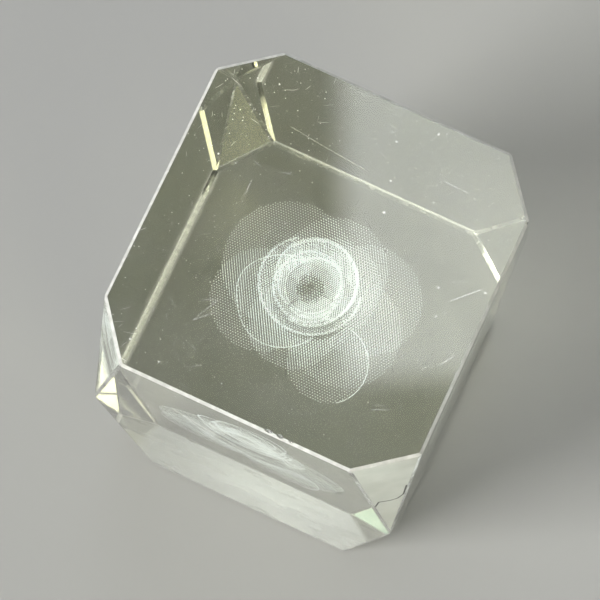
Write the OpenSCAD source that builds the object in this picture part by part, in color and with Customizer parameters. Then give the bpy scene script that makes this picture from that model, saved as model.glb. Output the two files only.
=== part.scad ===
// Crystal paperweight: an upright block of clear glass with faceted corners and a
// rose engraved inside it as thin layers, one layer for each petal.
// Millimetres, +Z up. The origin is the centre of the resting face.

/* [Block] */
// Width of the block along X
block_w = 48.6; // [40:0.1:60]
// Depth of the block along Y
block_d = 50; // [40:0.5:60]
// Height of the block along Z
block_h = 80; // [70:1:100]

/* [Corner facets] */
// Length of the shorter cut that a corner facet makes in a face's edge
short_cut = 6.2; // [3:0.1:9]
// Length of the longer cut that a corner facet makes in a face's edge
long_cut = 7.9; // [3:0.1:9]
// Height at which an upper and a lower corner facet meet in a point
apex_h = 41.3; // [30:0.1:50]
// Width of the narrow chamfer polished along every edge
chamfer_w = 0.6; // [0.3:0.1:1.2]

/* [Engraved rose] */
// Distance from the rose's axis to its furthest petal tip
rose_r = 16.4; // [10:0.1:17]
// Height of the outer petals' feet above the resting face
rose_h = 38.6; // [25:0.2:50]
// Thickness of an engraved layer
layer_t = 0.2; // [0.1:0.05:0.25]
// How far the bud stands off the rose's axis along X
bud_shift_x = -0.8; // [-1:0.1:0]
// How far the bud stands off the rose's axis along Y
bud_shift_y = 0.3; // [0:0.1:0.6]
// How far the ring around the bud stands off the rose's axis along X
inner_shift_x = -0.9; // [-1:0.1:0]
// How far the ring around the bud stands off the rose's axis along Y
inner_shift_y = 1.0; // [0.6:0.1:1.2]

/* [Hidden] */
$fn = 64;
half_w = block_w / 2;
half_d = block_d / 2;
beyond = 200;

// Each ring of petals shares one cubic curve, from a petal's foot to its rim, as
// [distance from the axis, height above the outer petals' feet] at full size. The
// fifth pair is how far out and down each further petal of the ring lies, so that
// no two layers meet, and the last pair is how far the ring stands off the axis.
BUD_SHIFT = [bud_shift_x, bud_shift_y];
INNER_SHIFT = [inner_shift_x, inner_shift_y];
HEART = [[0.3, 9.0], [1.6, 9.4], [2.7, 9.2], [3.2, 8.5], [0, 0.5], BUD_SHIFT];
BUD = [[0.8, 6.7], [3.4, 6.2], [4.55, 7.0], [4.8, 11.0], [0.3, 0.4], BUD_SHIFT];
INNER = [[2.6, 4.4], [5.4, 4.0], [6.3, 5.2], [6.5, 10.3], [0.62, 0.45], INNER_SHIFT];
MIDDLE = [[5.0, 3.0], [7.6, 2.0], [10.6, 2.8], [10.8, 6.6], [0.3, 0.5], [0, 0]];
OUTER = [[6.0, 0], [9.6, 1.0], [13.8, 1.0], [16.4, -0.6], [0, 0.4], [0, 0]];

// Each row is a petal, from the heart outwards: its ring's name and curve, its
// number in the ring, its heading in degrees, how much of the curve it covers, and
// the slope and radius of the ball that rounds its edge.
PETALS = [
    ["heart", HEART, 1, 60, 0.90, 20, 3.6],
    ["heart", HEART, 2, 230, 1.00, 20, 4.4],
    ["bud", BUD, 1, 10, 0.96, 85, 10],
    ["bud", BUD, 2, 120, 0.96, 85, 9],
    ["bud", BUD, 3, 235, 1.00, 85, 9],
    ["inner", INNER, 1, 20, 1.00, 85, 16],
    ["inner", INNER, 2, 75, 0.80, 75, 11],
    ["inner", INNER, 3, 250, 1.00, 85, 20],
    ["middle", MIDDLE, 1, 290, 0.50, 45, 7.4],
    ["middle", MIDDLE, 2, 58, 0.66, 30, 7.6],
    ["middle", MIDDLE, 3, 211, 1.00, 15, 7.2],
    ["outer", OUTER, 1, 256, 0.50, 0, 6.6],
    ["outer", OUTER, 2, 80, 0.66, 0, 7.8],
    ["outer", OUTER, 3, 338, 0.83, 0, 8.4],
    ["outer", OUTER, 4, 205, 0.87, 0, 7.8],
    ["outer", OUTER, 5, 307, 0.89, 0, 6.0],
    ["outer", OUTER, 6, 25, 0.95, 0, 8.4],
    ["outer", OUTER, 7, 150, 0.99, 0, 9.8]
];
rose_scale = rose_r / OUTER[3][0];
half_turn = 120;
curve_steps = 10;
overrun = 1.06;

function petal_name(p) = str("engraved_", p[0], "_petal_", p[2]);

// ---- Block ----

// A plane is [outward normal, distance from the origin].
function plane(n, at) = let (u = n / norm(n)) [u, u * at];

// The cap planes (top, bottom), the four sides, and one upper and one lower facet
// for each corner. A facet's cuts swap between the upper and the lower one, and
// between neighbouring corners.
function cap(up) = plane([0, 0, up ? 1 : -1], [0, 0, up ? block_h : 0]);
function side(k) = plane([[1, 0, 0], [0, 1, 0], [-1, 0, 0], [0, -1, 0]][k],
                         [[half_w, 0, 0], [0, half_d, 0], [-half_w, 0, 0], [0, -half_d, 0]][k]);
function corner_sign(k) = [[1, 1], [-1, 1], [-1, -1], [1, -1]][k];
function facet(k, up) =
    let (s = corner_sign(k),
         short_on_x = (s[0] == s[1]) == up,
         cut_x = short_on_x ? short_cut : long_cut,
         cut_y = short_on_x ? long_cut : short_cut,
         drop = up ? block_h - apex_h : apex_h)
    plane([s[0] / cut_x, s[1] / cut_y, (up ? 1 : -1) / drop],
          [s[0] * half_w, s[1] * half_d, apex_h]);

// The plane of the chamfer between two faces, chamfer_w wide.
function chamfer(a, b) =
    let (n = a[0] + b[0],
         turn = acos(a[0] * b[0]),
         depth = chamfer_w / 2 * tan(turn / 2))
    [n / norm(n), (a[1] + b[1]) / norm(n) - depth];

FACETS = [for (k = [0:3], up = [false, true]) facet(k, up)];
CAP_CHAMFERS = [for (up = [false, true], k = [0:3], f = [side(k), facet(k, up)])
                chamfer(cap(up), f)];
SIDE_CHAMFERS = [for (up = [false, true], k = [0:3], j = [k, (k + 1) % 4])
                 chamfer(facet(k, up), side(j))];

// Everything on the inner side of a plane.
module behind(p) {
    rotate([0, acos(p[0][2]), atan2(p[0][1], p[0][0])])
        translate([-beyond / 2, -beyond / 2, p[1] - beyond])
            cube(beyond);
}

module crystal_block() {
    color([0.86, 0.91, 0.88, 0.35])
        difference() {
            intersection() {
                translate([-half_w, -half_d, 0]) cube([block_w, block_d, block_h]);
                intersection_for(p = concat(FACETS, CAP_CHAMFERS, SIDE_CHAMFERS)) behind(p);
            }
            for (i = [0:len(PETALS) - 1]) petal_layer(i);
        }
}

// ---- Rose ----

// A petal's own curve, in millimetres: its ring's curve, moved by its number.
function petal_curve(p) = [for (k = [0:3])
    let (at = p[1][k] + (p[2] - 1) * [p[1][4][0], -p[1][4][1]])
    rose_scale * at + [0, rose_h]];
function cubic(c, t) = pow(1 - t, 3) * c[0] + 3 * t * pow(1 - t, 2) * c[1]
    + 3 * t * t * (1 - t) * c[2] + pow(t, 3) * c[3];
function slope(c, t) = 3 * pow(1 - t, 2) * (c[1] - c[0])
    + 6 * t * (1 - t) * (c[2] - c[1]) + 3 * t * t * (c[3] - c[2]);
function beside(c, t, d) = let (s = slope(c, t)) cubic(c, t) + d * [-s[1], s[0]] / norm(s);
function layer_outline(c) = concat(
    [for (k = [0:curve_steps]) beside(c, overrun * k / curve_steps, layer_t / 2)],
    [for (k = [curve_steps:-1:0]) beside(c, overrun * k / curve_steps, -layer_t / 2)]);

// The curve is turned about the axis, and a ball that touches the petal's tip from
// inside cuts its rounded edge.
module petal_layer(i) {
    p = PETALS[i];
    c = petal_curve(p);
    ball_r = rose_scale * p[6];
    ball_at = cubic(c, p[4]) - ball_r * [cos(p[5]), sin(p[5])];
    translate(rose_scale * p[1][5]) rotate([0, 0, p[3]])
        intersection() {
            rotate([0, 0, -half_turn]) rotate_extrude(angle = 2 * half_turn)
                polygon(layer_outline(c));
            translate([ball_at[0], 0, ball_at[1]]) sphere(ball_r);
        }
}

module petal(i) {
    color([0.93, 0.96, 0.95]) petal_layer(i);
}

crystal_block();
for (i = [0:len(PETALS) - 1])
    petal(i);
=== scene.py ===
import itertools
import math

import bmesh
import bpy
import numpy as np
from mathutils import Matrix, Vector
from mathutils.bvhtree import BVHTree


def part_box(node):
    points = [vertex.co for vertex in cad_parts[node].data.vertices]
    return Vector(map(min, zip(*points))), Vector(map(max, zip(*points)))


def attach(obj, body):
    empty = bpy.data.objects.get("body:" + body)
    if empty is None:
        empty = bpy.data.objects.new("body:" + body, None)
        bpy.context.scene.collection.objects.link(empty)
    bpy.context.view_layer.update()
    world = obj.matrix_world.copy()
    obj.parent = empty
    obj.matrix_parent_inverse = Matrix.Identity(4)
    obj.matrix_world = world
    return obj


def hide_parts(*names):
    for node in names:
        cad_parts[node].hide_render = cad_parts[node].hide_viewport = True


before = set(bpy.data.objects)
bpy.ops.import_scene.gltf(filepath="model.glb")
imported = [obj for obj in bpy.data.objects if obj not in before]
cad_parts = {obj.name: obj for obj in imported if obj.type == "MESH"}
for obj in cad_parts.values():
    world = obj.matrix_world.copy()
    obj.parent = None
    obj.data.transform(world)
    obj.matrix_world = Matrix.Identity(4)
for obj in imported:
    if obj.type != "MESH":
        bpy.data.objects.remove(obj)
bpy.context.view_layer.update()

MM = 0.001
SEED = 7
GLASS_IOR = 1.5168

# The engraving is a cloud of points: rows on a triangular grid where a petal lies
# flat, rings on a cylinder where it stands up, and a closer row along some rims.
# The grid is closer on the petals in the middle, from CLOSE_FROM outwards.
DOT_PITCH = 0.414 * MM
CLOSE_PITCH = 0.31 * MM
CLOSE_FROM = 2.0 * MM
RING_PITCH = 0.55 * MM
RING_RISE = 0.85 * MM
RIM_PITCH = 0.2 * MM
DOT_HALF_WIDTH = 0.088 * MM
DOT_HALF_HEIGHT = 0.11 * MM
# A petal counts as flat where its normal's Z is at least this.
FLAT_ENOUGH = 0.25
# How far rings and rims stay clear of a petal's foot, and the widest radius at
# which the points of a ring are RING_PITCH apart.
RING_CLEAR = 1.2 * MM
RIM_CLEAR = 1.0 * MM
RING_RADIUS = 8.0 * MM
# How far past a hit the next ray starts.
PAST_SKIN = 0.001 * MM
# An edge sharper than this is a rim.
RIM_ANGLE = math.radians(50)

# Each family of petals: the axis it turns about and the radius where it starts,
# both in mm. The names are the nodes' own.
FAMILIES = {
    "heart": ((-0.8, 0.3), 0.3),
    "bud": ((-0.8, 0.3), 0.8),
    "inner": ((-0.9, 1.0), 2.6),
    "middle": ((0.0, 0.0), 5.0),
    "outer": ((0.0, 0.0), 6.0),
}
# The petals whose rims are drawn brighter. A heading keeps only the part of the
# rim that lies counter-clockwise of it.
BRIGHT_RIMS = {
    "bud_petal_1": None,
    "bud_petal_2": None,
    "bud_petal_3": None,
    "inner_petal_1": None,
    "inner_petal_2": None,
    "inner_petal_3": None,
    "middle_petal_3": None,
    "outer_petal_5": 307.0,
}

block_low, block_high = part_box("crystal_block")
petals = sorted(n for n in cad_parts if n.startswith("engraved_"))


# ---- Helpers ----


def link(name, mesh):
    obj = bpy.data.objects.new(name, mesh)
    bpy.context.scene.collection.objects.link(obj)
    return obj


def node_bmesh(name):
    """A CAD node's mesh with the vertices that its normals split joined again."""
    bm = bmesh.new()
    bm.from_mesh(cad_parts[name].data)
    bmesh.ops.remove_doubles(bm, verts=bm.verts, dist=0.0005 * MM)
    return bm


class Nodes:
    """A short way to write a node tree."""

    def __init__(self, tree):
        self.tree = tree

    def add(self, kind, **inputs):
        """A node of that kind; each input is a value or another node's output."""
        settings = inputs.pop("settings", {})
        node = self.tree.nodes.new(kind)
        for name, value in settings.items():
            setattr(node, name, value)
        for name, value in inputs.items():
            key = int(name[1:]) if name[0] == "i" and name[1:].isdigit() else name
            self.feed(node.inputs[key], value)
        return node

    def feed(self, socket, value):
        if isinstance(value, bpy.types.NodeSocket):
            self.tree.links.new(value, socket)
        else:
            socket.default_value = value

    def math(self, operation, *values, clamp=False):
        node = self.tree.nodes.new("ShaderNodeMath")
        node.operation = operation
        node.use_clamp = clamp
        for socket, value in zip(node.inputs, values):
            self.feed(socket, value)
        return node.outputs[0]

    def vector(self, operation, *values, scale=None):
        """The vector that the operation gives, or the number where it gives one."""
        node = self.tree.nodes.new("ShaderNodeVectorMath")
        node.operation = operation
        for socket, value in zip(node.inputs, values):
            self.feed(socket, value)
        if scale is not None:
            self.feed(node.inputs["Scale"], scale)
        gives_number = operation in ("DOT_PRODUCT", "DISTANCE")
        return node.outputs["Value" if gives_number else "Vector"]

    def smooth(self, value, low, high, to_low=0.0, to_high=1.0):
        """value taken from low..high to to_low..to_high along an S curve."""
        node = self.tree.nodes.new("ShaderNodeMapRange")
        node.interpolation_type = "SMOOTHSTEP"
        for socket, v in zip(node.inputs, (value, low, high, to_low, to_high)):
            self.feed(socket, v)
        return node.outputs[0]


def new_material(name):
    """A material, its node tree helper and its Principled node."""
    material = bpy.data.materials.new(name)
    material.use_nodes = True
    nodes = Nodes(material.node_tree)
    return material, nodes, material.node_tree.nodes["Principled BSDF"]


# ---- Materials ----

# The scratches that the photo shows, as start, end and half width in mm.
SCRATCHES = (
    ((-14.8, 25.0, 21.0), (-8.6, 25.0, 16.4), 0.8),
    ((-8.6, 25.0, 16.4), (-3.1, 25.0, 13.3), 0.65),
    ((11.4, 17.4, 80.0), (15.0, 17.3, 80.0), 0.07),
    ((19.0, 2.3, 80.0), (22.1, 5.5, 80.0), 0.09),
    ((-11.8, -15.0, 80.0), (-9.5, -12.7, 80.0), 0.05),
    ((-11.6, -14.5, 80.0), (-9.9, -11.0, 80.0), 0.05),
    ((21.5, -6.3, 80.0), (22.7, -4.3, 80.0), 0.08),
    ((-12.9, 4.7, 80.0), (-12.9, 6.3, 80.0), 0.06),
)
# A crack across the near right facet, as the corners of one line.
CRACK = (
    (21.0, -24.8, 58.6),
    (21.2, -24.3, 60.8),
    (22.6, -23.3, 60.4),
    (23.4, -22.6, 60.7),
    (23.9, -21.9, 62.2),
    (23.9, -21.3, 66.5),
)


def near_line(nodes, place, start, end, width):
    """1 on the line from start to end, falling to 0 at its half width, all in mm."""
    a, b = (Vector(p) * MM for p in (start, end))
    run = b - a
    off = nodes.vector("SUBTRACT", place, tuple(a))
    share = nodes.vector("DOT_PRODUCT", off, tuple(run / run.length_squared))
    share = nodes.math("MAXIMUM", share, 0.0, clamp=True)
    gap = nodes.vector("DISTANCE", off, nodes.vector("SCALE", tuple(run), scale=share))
    solid_width = 0.4 * width
    return nodes.smooth(gap, width * MM, solid_width * MM)


def specks(nodes, place, cell, radius):
    """Small round specks, one to each cell of that size, both in mm."""
    voronoi = nodes.add("ShaderNodeTexVoronoi", Vector=place, Scale=1 / (cell * MM))
    rim = radius / cell
    return nodes.smooth(voronoi.outputs["Distance"], rim, 0.5 * rim)


def hairlines(nodes, place, turn, length, width, spacing):
    """Fine, slightly bent scratches in one heading.

    Their half length, half width and cell are in mm.
    """
    sway = 1.6 * MM
    bend = nodes.add("ShaderNodeTexNoise", Vector=place, Scale=260.0, Detail=1.0)
    bent = nodes.vector(
        "MULTIPLY_ADD", bend.outputs["Color"], (sway, sway, 0.0), place
    )
    turned = nodes.add(
        "ShaderNodeVectorRotate",
        settings={"rotation_type": "Z_AXIS"},
        Vector=bent,
        Angle=math.radians(turn),
    ).outputs[0]
    squeezed = nodes.vector("MULTIPLY", turned, (width / length, 1.0, 1.0))
    return specks(nodes, squeezed, spacing, width)


def strongest(nodes, masks):
    """The largest of the masks at each place."""
    total = masks[0]
    for mask in masks[1:]:
        total = nodes.math("MAXIMUM", total, mask)
    return total


def absorb(nodes):
    """The faint olive cast of the glass, seen where light crosses it many times."""
    volume = nodes.add(
        "ShaderNodeVolumeAbsorption", Color=(0.85, 0.88, 0.58, 1.0), Density=6.0
    )
    output = nodes.tree.nodes["Material Output"]
    nodes.tree.links.new(volume.outputs[0], output.inputs["Volume"])


# The fine scratches all over the glass: heading in degrees and half length in mm.
HAIRLINES = ((21.0, 1.4), (77.0, 0.7), (118.0, 0.9), (151.0, 1.9))


def polished_glass():
    """The large faces: clear glass with dust, scratches and a thin greasy film, and a
    painted sky reflection on the near face.
    """
    material, nodes, shader = new_material("polished_crystal")
    shader.inputs["IOR"].default_value = GLASS_IOR
    place = nodes.add("ShaderNodeTexCoord").outputs["Object"]
    smudge = nodes.add(
        "ShaderNodeTexNoise", Vector=place, Scale=90.0, Detail=5.0, Roughness=0.6
    ).outputs["Fac"]
    side = nodes.add("ShaderNodeSeparateXYZ", Vector=place)
    # The face that the block stands on is scuffed.
    scuffed = nodes.smooth(side.outputs["Z"], 0.3 * MM, 0.1 * MM, 0.0, 0.16)
    greasy = nodes.smooth(smudge, 0.45, 0.75, 0.0, 0.03)
    nodes.feed(shader.inputs["Roughness"], nodes.math("ADD", greasy, scuffed))
    # Small specks close together, and larger ones further apart.
    dust = strongest(
        nodes, [specks(nodes, place, 1.0, 0.11), specks(nodes, place, 2.9, 0.22)]
    )
    fine = [
        hairlines(nodes, place, turn, length, 0.05, 0.55)
        for turn, length in HAIRLINES
    ]
    scratches = [near_line(nodes, place, *scratch) for scratch in SCRATCHES]
    # The long scratches are ragged.
    crumbly = nodes.add("ShaderNodeTexNoise", Vector=place, Scale=3500.0).outputs["Fac"]
    broken = nodes.math(
        "MULTIPLY", strongest(nodes, scratches), nodes.smooth(crumbly, 0.3, 0.55)
    )
    worn = nodes.math("MULTIPLY", strongest(nodes, fine), 0.7)
    pale = strongest(nodes, [dust, worn, broken])
    opaque = nodes.math("MULTIPLY", pale, 0.8)
    film = nodes.smooth(smudge, 0.35, 0.8, 0.0, 0.05)
    # The near face is made faintly whiter: a painted reflection of the pale sky that
    # this face shows.
    front = block_low.y
    painted_sky_reflection = nodes.smooth(
        side.outputs["Y"], front + 0.4 * MM, front + 0.1 * MM, 0.0, 0.07
    )
    # The painted sky reflection on the near face joins the greasy film here.
    hidden = strongest(nodes, [opaque, nodes.math("ADD", film, painted_sky_reflection)])
    nodes.feed(
        shader.inputs["Transmission Weight"], nodes.math("SUBTRACT", 1.0, hidden)
    )
    shader.inputs["Base Color"].default_value = (1.0, 1.0, 0.98, 1.0)
    absorb(nodes)
    return material


def ground_edges():
    """The chamfers: not quite polished."""
    material, nodes, shader = new_material("ground_edges")
    shader.inputs["IOR"].default_value = GLASS_IOR
    shader.inputs["Base Color"].default_value = (1.0, 1.0, 0.97, 1.0)
    place = nodes.add("ShaderNodeTexCoord").outputs["Object"]
    grain = nodes.add(
        "ShaderNodeTexNoise", Vector=place, Scale=900.0, Detail=3.0
    ).outputs["Fac"]
    nodes.feed(shader.inputs["Roughness"], nodes.smooth(grain, 0.3, 0.7, 0.03, 0.14))
    # The top edges have been knocked more than the others, so they are whiter.
    height = nodes.add("ShaderNodeSeparateXYZ", Vector=place).outputs["Z"]
    top = block_high.z
    knocked = nodes.smooth(height, top - 1.5 * MM, top - 0.8 * MM, 0.0, 0.34)
    clear = nodes.smooth(grain, 0.35, 0.75, 0.84, 0.66)
    nodes.feed(
        shader.inputs["Transmission Weight"], nodes.math("SUBTRACT", clear, knocked)
    )
    absorb(nodes)
    return material


def hazed_facet():
    """The near right facet, which is cloudy all through where the others are clear."""
    material, nodes, shader = new_material("hazed_crystal")
    shader.inputs["IOR"].default_value = GLASS_IOR
    place = nodes.add("ShaderNodeTexCoord").outputs["Object"]
    cloud = nodes.add(
        "ShaderNodeTexNoise", Vector=place, Scale=140.0, Detail=4.0
    ).outputs["Fac"]
    crack = strongest(
        nodes,
        [near_line(nodes, place, a, b, 0.2) for a, b in zip(CRACK[:-1], CRACK[1:])],
    )
    clear = nodes.smooth(cloud, 0.3, 0.7, 0.2, 0.34)
    gone = nodes.math("SUBTRACT", 1.0, crack)
    nodes.feed(
        shader.inputs["Transmission Weight"], nodes.math("MULTIPLY", clear, gone)
    )
    nodes.feed(shader.inputs["Roughness"], nodes.smooth(cloud, 0.3, 0.7, 0.1, 0.25))
    tone = nodes.add(
        "ShaderNodeMix",
        settings={"data_type": "RGBA"},
        Factor=crack,
        i6=(0.86, 0.89, 0.80, 1.0),
        i7=(0.02, 0.02, 0.015, 1.0),
    ).outputs[2]
    nodes.feed(shader.inputs["Base Color"], tone)
    absorb(nodes)
    return material


def broken_glass():
    """The rippled hollows that the chips have left."""
    material, nodes, shader = new_material("chipped_crystal")
    shader.inputs["IOR"].default_value = GLASS_IOR
    shader.inputs["Base Color"].default_value = (1.0, 1.0, 1.0, 1.0)
    place = nodes.add("ShaderNodeTexCoord").outputs["Object"]
    ripple = nodes.add(
        "ShaderNodeTexNoise", Vector=place, Scale=4000.0, Detail=2.0
    ).outputs["Fac"]
    bump = nodes.add(
        "ShaderNodeBump", Height=ripple, Strength=0.4, Distance=0.02 * MM
    ).outputs[0]
    nodes.feed(shader.inputs["Normal"], bump)
    nodes.feed(
        shader.inputs["Transmission Weight"], nodes.smooth(ripple, 0.4, 0.7, 0.9, 0.55)
    )
    nodes.feed(shader.inputs["Roughness"], nodes.smooth(ripple, 0.3, 0.7, 0.05, 0.3))
    absorb(nodes)
    return material


def engraved_points():
    """The engraved points, whose glow stands for the light that cracks scatter."""
    material, nodes, shader = new_material("engraved_points")
    shader.inputs["Roughness"].default_value = 0.6
    shader.inputs["Emission Color"].default_value = (0.94, 1.0, 0.99, 1.0)
    shader.inputs["Emission Strength"].default_value = 0.8
    place = nodes.add("ShaderNodeTexCoord").outputs["Object"]
    drift = nodes.add("ShaderNodeTexNoise", Vector=place, Scale=160.0).outputs["Fac"]
    tone = nodes.add(
        "ShaderNodeMix",
        settings={"data_type": "RGBA"},
        Factor=nodes.smooth(drift, 0.35, 0.65),
        i6=(0.42, 0.46, 0.45, 1.0),
        i7=(0.36, 0.41, 0.47, 1.0),
    ).outputs[2]
    nodes.feed(shader.inputs["Base Color"], tone)
    return material


BLOCK_MATERIALS = (polished_glass(), ground_edges(), broken_glass(), hazed_facet())
POLISHED, GROUND, BROKEN, HAZED = range(len(BLOCK_MATERIALS))
POINTS = engraved_points()


# ---- Block ----

# The block has 6 sides and 8 corner facets. All its other faces are chamfers.
LARGE_FACES = 14


def outer_shell(bm):
    """Deletes all but the largest connected part: the block without its hollows."""
    left, largest = set(bm.verts), []
    while left:
        part, queue = [], [left.pop()]
        while queue:
            v = queue.pop()
            part.append(v)
            for e in v.link_edges:
                other = e.other_vert(v)
                if other in left:
                    left.remove(other)
                    queue.append(other)
        if not largest or extent(part) > extent(largest):
            largest = part
    keep = set(largest)
    bmesh.ops.delete(bm, geom=[v for v in bm.verts if v not in keep], context="VERTS")


def extent(verts):
    return max(v.co.z for v in verts) - min(v.co.z for v in verts)


# Chips knocked out of the top edges: centre and half size in mm, and a turn in
# degrees.
CHIPS = (
    ((4.0, -24.75, 80.0), (0.75, 0.35, 0.22), 10),
    ((5.8, -24.75, 80.0), (0.55, 0.40, 0.25), -15),
    ((7.4, -24.75, 80.0), (0.45, 0.30, 0.20), 5),
    ((-1.6, -24.9, 80.0), (0.25, 0.30, 0.14), 35),
    ((-2.5, -24.9, 80.0), (0.22, 0.30, 0.14), 30),
    ((-3.4, -24.9, 80.0), (0.22, 0.34, 0.14), 35),
    ((-4.3, -24.9, 80.0), (0.24, 0.30, 0.14), 28),
    ((-5.2, -24.9, 80.0), (0.20, 0.28, 0.12), 30),
    ((24.3, 17.0, 79.9), (0.30, 0.50, 0.30), 0),
    ((24.3, 14.6, 79.9), (0.25, 0.30, 0.20), 0),
    ((-24.3, -9.0, 79.9), (0.25, 0.35, 0.18), 0),
)
# How uneven each lump's surface is, as a share of its radius.
DENT = 0.08


def chip_tool():
    """The lumps of glass that are gone, as one mesh of dented ellipsoids."""
    random = np.random.default_rng(SEED)
    bm = bmesh.new()
    for centre, size, turn in CHIPS:
        place = (
            Matrix.Translation(Vector(centre) * MM)
            @ Matrix.Rotation(math.radians(turn), 4, "Z")
            @ Matrix.Diagonal((*(c * MM for c in size), 1.0))
        )
        lump = bmesh.ops.create_icosphere(bm, subdivisions=3, radius=1.0)["verts"]
        for v in lump:
            v.co *= 1.0 + DENT * random.standard_normal()
            v.co = place @ v.co
    mesh = bpy.data.meshes.new("chips")
    for f in bm.faces:
        f.material_index = BROKEN
    bm.to_mesh(mesh)
    bm.free()
    return mesh


def carve(obj, tool_mesh):
    """Takes the tool out of the object's mesh, for good."""
    tool = link("tool", tool_mesh)
    cut = obj.modifiers.new("cut", "BOOLEAN")
    cut.operation, cut.solver, cut.object = "DIFFERENCE", "EXACT", tool
    done = obj.evaluated_get(bpy.context.evaluated_depsgraph_get())
    mesh = bpy.data.meshes.new_from_object(done)
    obj.modifiers.clear()
    obj.data = mesh
    bpy.data.objects.remove(tool)


def make_block():
    """The glass block with its four finishes and its chips."""
    bm = node_bmesh("crystal_block")
    outer_shell(bm)
    bmesh.ops.dissolve_limit(
        bm, angle_limit=math.radians(0.2), verts=bm.verts, edges=bm.edges
    )
    bmesh.ops.recalc_face_normals(bm, faces=bm.faces)
    mesh = bpy.data.meshes.new("cut_crystal_block")
    areas = sorted((f.calc_area() for f in bm.faces), reverse=True)
    large = 0.99 * areas[LARGE_FACES - 1]
    for f in bm.faces:
        f.material_index = POLISHED if f.calc_area() >= large else GROUND
        faces_near_right = f.normal.x > 0.3 and f.normal.y < -0.3
        is_upper = f.calc_center_median().z > 0.5 * block_high.z
        if f.material_index == POLISHED and faces_near_right and is_upper:
            f.material_index = HAZED
    bm.to_mesh(mesh)
    bm.free()
    tool = chip_tool()
    for material in BLOCK_MATERIALS:
        mesh.materials.append(material)
        tool.materials.append(material)
    obj = link("cut_crystal_block", mesh)
    carve(obj, tool)
    return obj


# ---- Engraving ----


def hits(tree, start, direction, facing):
    """Where a ray enters a petal.

    Only places where the normal's Z is between the two limits of facing count.
    """
    found, at = [], Vector(start)
    while True:
        place, normal, _, _ = tree.ray_cast(at, direction)
        if place is None:
            return found
        if normal.dot(direction) < 0 and facing[0] <= abs(normal.z) <= facing[1]:
            found.append(place.copy())
        at = place + direction * PAST_SKIN


def grid_points(tree, low, high, pitch):
    """Points where a petal lies flat, on a triangular grid with rows along X."""
    row_step = pitch * math.sqrt(3) / 2
    down = Vector((0, 0, -1))
    points = []
    for row in range(math.ceil(low.y / row_step), math.floor(high.y / row_step) + 1):
        shift = 0.5 * (row % 2)
        first = math.ceil(low.x / pitch - shift)
        last = math.floor(high.x / pitch - shift)
        for column in range(first, last + 1):
            start = ((column + shift) * pitch, row * row_step, high.z + MM)
            points += hits(tree, start, down, (FLAT_ENOUGH, 1.0))
    return points


def ring_points(tree, low, high, axis, foot):
    """Points where a petal stands up, in level rings round its family's axis."""
    reach = max(abs(c - a) for v in (low, high) for c, a in zip(v.xy, axis))
    count = round(2 * math.pi * min(reach, RING_RADIUS) / RING_PITCH)
    points = []
    level = math.ceil(low.z / RING_RISE) * RING_RISE
    while level < high.z:
        for k in range(count):
            turn = 2 * math.pi * k / count
            out = Vector((math.cos(turn), math.sin(turn), 0))
            found = hits(tree, (*axis, level), out, (0.0, FLAT_ENOUGH))
            points += [p for p in found if (p.xy - axis).length > foot + RING_CLEAR]
        level += RING_RISE
    return points


def rim_points(bm, axis, foot, heading):
    """Points along a petal's free edge, but not its foot or its straight ends."""

    def is_end(face):
        """Whether the face is one of the petal's straight ends, which run outwards."""
        out = face.calc_center_median().xy - axis
        flat = abs(face.normal.z) < 0.02
        return flat and abs(face.normal.xy.dot(out.normalized())) < 0.05

    fine_step = 0.25 * RIM_PITCH
    around = list(itertools.product((-1, 0, 1), repeat=3))
    taken_at, points = {}, []
    for e in sorted(bm.edges, key=lambda e: e.index):
        if len(e.link_faces) != 2 or e.calc_face_angle() < RIM_ANGLE:
            continue
        if any(is_end(f) for f in e.link_faces):
            continue
        a, b = (v.co for v in e.verts)
        steps = max(1, round((b - a).length / fine_step))
        for k in range(steps):
            p = a.lerp(b, k / steps)
            out = p.xy - axis
            if out.length < foot + RIM_CLEAR:
                continue
            if heading is not None:
                turn = math.degrees(math.atan2(out.y, out.x)) - heading
                if not 0 < (turn + 180) % 360 - 180 < 90:
                    continue
            cell = tuple(round(c / RIM_PITCH) for c in p)
            cells = (tuple(map(sum, zip(cell, step))) for step in around)
            near = [taken_at[c] for c in cells if c in taken_at]
            if any((other - p).length < RIM_PITCH for other in near):
                continue
            taken_at[cell] = p
            points.append(p)
    return points


def point_mesh(name, points):
    """One small upright double cone for each point."""
    w, h = DOT_HALF_WIDTH, DOT_HALF_HEIGHT
    corners = np.array(
        [(w, 0, 0), (0, w, 0), (-w, 0, 0), (0, -w, 0), (0, 0, h), (0, 0, -h)]
    )
    sides = [(k, (k + 1) % 4) for k in range(4)]
    faces = np.array([(a, b, 4) for a, b in sides] + [(b, a, 5) for a, b in sides])
    centres = np.array([tuple(p) for p in points])
    verts = (centres[:, None, :] + corners).reshape(-1, 3)
    offsets = 6 * np.arange(len(centres))[:, None, None]
    mesh = bpy.data.meshes.new(name)
    mesh.from_pydata(verts, [], (offsets + faces).reshape(-1, 3).tolist())
    mesh.materials.append(POINTS)
    return mesh


def make_petal(node):
    """The engraved points that stand for one CAD petal."""
    bm = node_bmesh(node)
    tree = BVHTree.FromBMesh(bm)
    low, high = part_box(node)
    short = node.replace("engraved_", "")
    centre, foot = FAMILIES[short.split("_")[0]]
    axis = Vector(centre) * MM
    points = grid_points(tree, low, high, DOT_PITCH)
    if short.startswith(("heart", "bud", "inner")):
        points = [p for p in points if (p.xy - axis).length < CLOSE_FROM]
        points += [
            p
            for p in grid_points(tree, low, high, CLOSE_PITCH)
            if (p.xy - axis).length >= CLOSE_FROM
        ]
    points += ring_points(tree, low, high, axis, foot * MM)
    if short in BRIGHT_RIMS:
        points += rim_points(bm, axis, foot * MM, BRIGHT_RIMS[short])
    bm.free()
    return link("dotted_" + short, point_mesh(node, points))


block = make_block()
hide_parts("crystal_block")
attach(block, "root")

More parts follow.
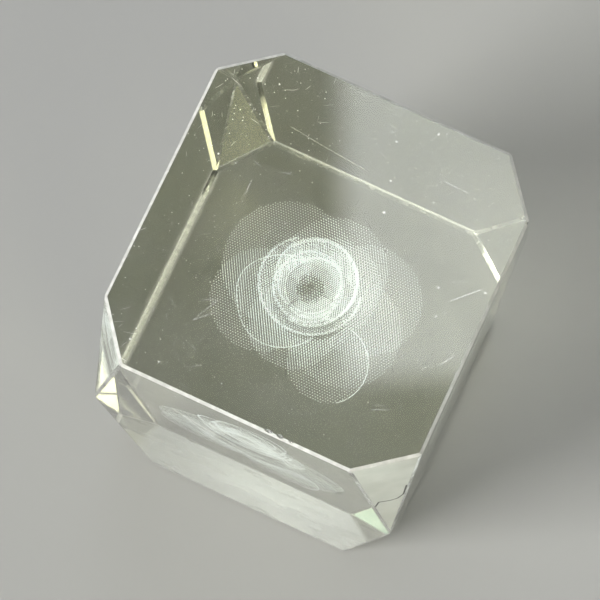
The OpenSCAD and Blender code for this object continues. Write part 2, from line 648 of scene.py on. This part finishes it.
total = 0
for node in petals:
    petal = make_petal(node)
    total += len(petal.data.vertices) // 6
    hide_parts(node)
    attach(petal, "root")
print("engraved points:", total)


# ---- Floor, light and camera ----


# The floor lies this far under the block, so that the two faces don't coincide.
FLOOR_GAP = 0.25 * MM


def make_floor():
    mesh = bpy.data.meshes.new("floor")
    bm = bmesh.new()
    bmesh.ops.create_circle(bm, cap_ends=True, segments=64, radius=4.0)
    bm.to_mesh(mesh)
    bm.free()
    material, nodes, shader = new_material("pale_floor")
    shader.inputs["Base Color"].default_value = (0.40, 0.40, 0.39, 1.0)
    shader.inputs["Roughness"].default_value = 0.9
    mesh.materials.append(material)
    floor = link("floor", mesh)
    floor.location.z = -FLOOR_GAP


# Soft lights round the table. Each is a rectangle with soft edges, seen from the
# block: the heading, height and roll of its middle, its half width and half
# height, and the width of its edges, all in degrees, and its colour times its
# strength.
SOFTBOXES = (
    ((224.0, 31.0, 0.0), (12.0, 8.0), 8.0, (31.0, 30.6, 29.8)),
    ((101.5, 74.8, 13.5), (1.95, 4.3), 0.9, (5.5, 5.7, 5.8)),
    ((115.0, 84.5, 0.0), (2.5, 2.5), 2.0, (2.6, 2.9, 3.3)),
    ((326.0, 50.0, 0.0), (9.0, 7.0), 4.0, (5.6, 5.5, 3.9)),
    ((316.0, 10.0, 0.0), (9.0, 6.0), 5.0, (1.8, 1.65, 0.9)),
    ((218.0, 50.0, 0.0), (4.0, 3.0), 2.0, (0.3, 1.1, 0.7)),
    ((100.0, 36.0, 0.0), (24.0, 15.0), 8.0, (1.2, 1.3, 1.4)),
)
HORIZON, ZENITH = (0.9, 0.9, 0.88), (0.15, 0.155, 0.165)


def unit_vector(heading, rise):
    """The unit vector with that heading, that far above the level, in radians."""
    return Vector(
        (
            math.cos(rise) * math.cos(heading),
            math.cos(rise) * math.sin(heading),
            math.sin(rise),
        )
    )


def softbox(nodes, way, aim, half_size, edge):
    """1 inside a rectangle on the sky, falling to 0 across its edge."""
    turn, tilt, roll = (math.radians(a) for a in aim)
    middle = unit_vector(turn, tilt)
    side = unit_vector(turn + math.pi / 2, 0.0)
    side.rotate(Matrix.Rotation(roll, 3, middle))
    parts = []
    for axis, half in zip((side, side.cross(middle)), half_size):
        off = nodes.vector("DOT_PRODUCT", way, tuple(axis))
        outer, inner = (math.sin(math.radians(half + d * edge)) for d in (0.5, -0.5))
        parts.append(nodes.smooth(nodes.math("ABSOLUTE", off), outer, inner))
    ahead = nodes.vector("DOT_PRODUCT", way, tuple(middle))
    both = nodes.math("MULTIPLY", *parts)
    return nodes.math("MULTIPLY", both, nodes.math("GREATER_THAN", ahead, 0.0))


def make_world():
    """A pale horizon, a darker sky and a few soft lights."""
    world = bpy.data.worlds.new("studio")
    world.use_nodes = True
    bpy.context.scene.world = world
    nodes = Nodes(world.node_tree)
    background = world.node_tree.nodes["Background"]
    way = nodes.add("ShaderNodeTexCoord").outputs["Generated"]
    height = nodes.add("ShaderNodeSeparateXYZ", Vector=way).outputs["Z"]
    total = nodes.add(
        "ShaderNodeMix",
        settings={"data_type": "RGBA"},
        Factor=nodes.smooth(height, 0.12, 0.6),
        i6=(*HORIZON, 1.0),
        i7=(*ZENITH, 1.0),
    ).outputs[2]
    for aim, half_size, edge, colour in SOFTBOXES:
        mask = softbox(nodes, way, aim, half_size, edge)
        total = nodes.vector("ADD", total, nodes.vector("SCALE", colour, scale=mask))
    nodes.feed(background.inputs["Color"], total)


# The camera's place in metres, and its aim in degrees: its heading, how far below
# the level it looks, and its roll.
CAMERA_PLACE = (0.03165, -0.08670, 0.48761)
CAMERA_AIM = (113.625, 77.369, 1.422)


def make_camera():
    """Seen from above the front right corner, with the image turned on the table."""
    data = bpy.data.cameras.new("camera")
    data.sensor_width = 36.0
    data.lens = 182.3
    data.shift_x = 0.041
    data.shift_y = -0.0614
    data.clip_start, data.clip_end = 0.01, 20.0
    camera = bpy.data.objects.new("camera", data)
    bpy.context.scene.collection.objects.link(camera)
    heading, dip, roll = (math.radians(a) for a in CAMERA_AIM)
    ahead = unit_vector(heading, -dip)
    level = unit_vector(heading - math.pi / 2, 0.0)
    right = level * math.cos(roll) + level.cross(ahead) * math.sin(roll)
    turn = Matrix((right, right.cross(ahead), -ahead)).transposed().to_4x4()
    camera.matrix_world = Matrix.Translation(CAMERA_PLACE) @ turn
    bpy.context.scene.camera = camera


make_floor()
make_world()
make_camera()
bpy.context.scene.view_settings.view_transform = "Standard"
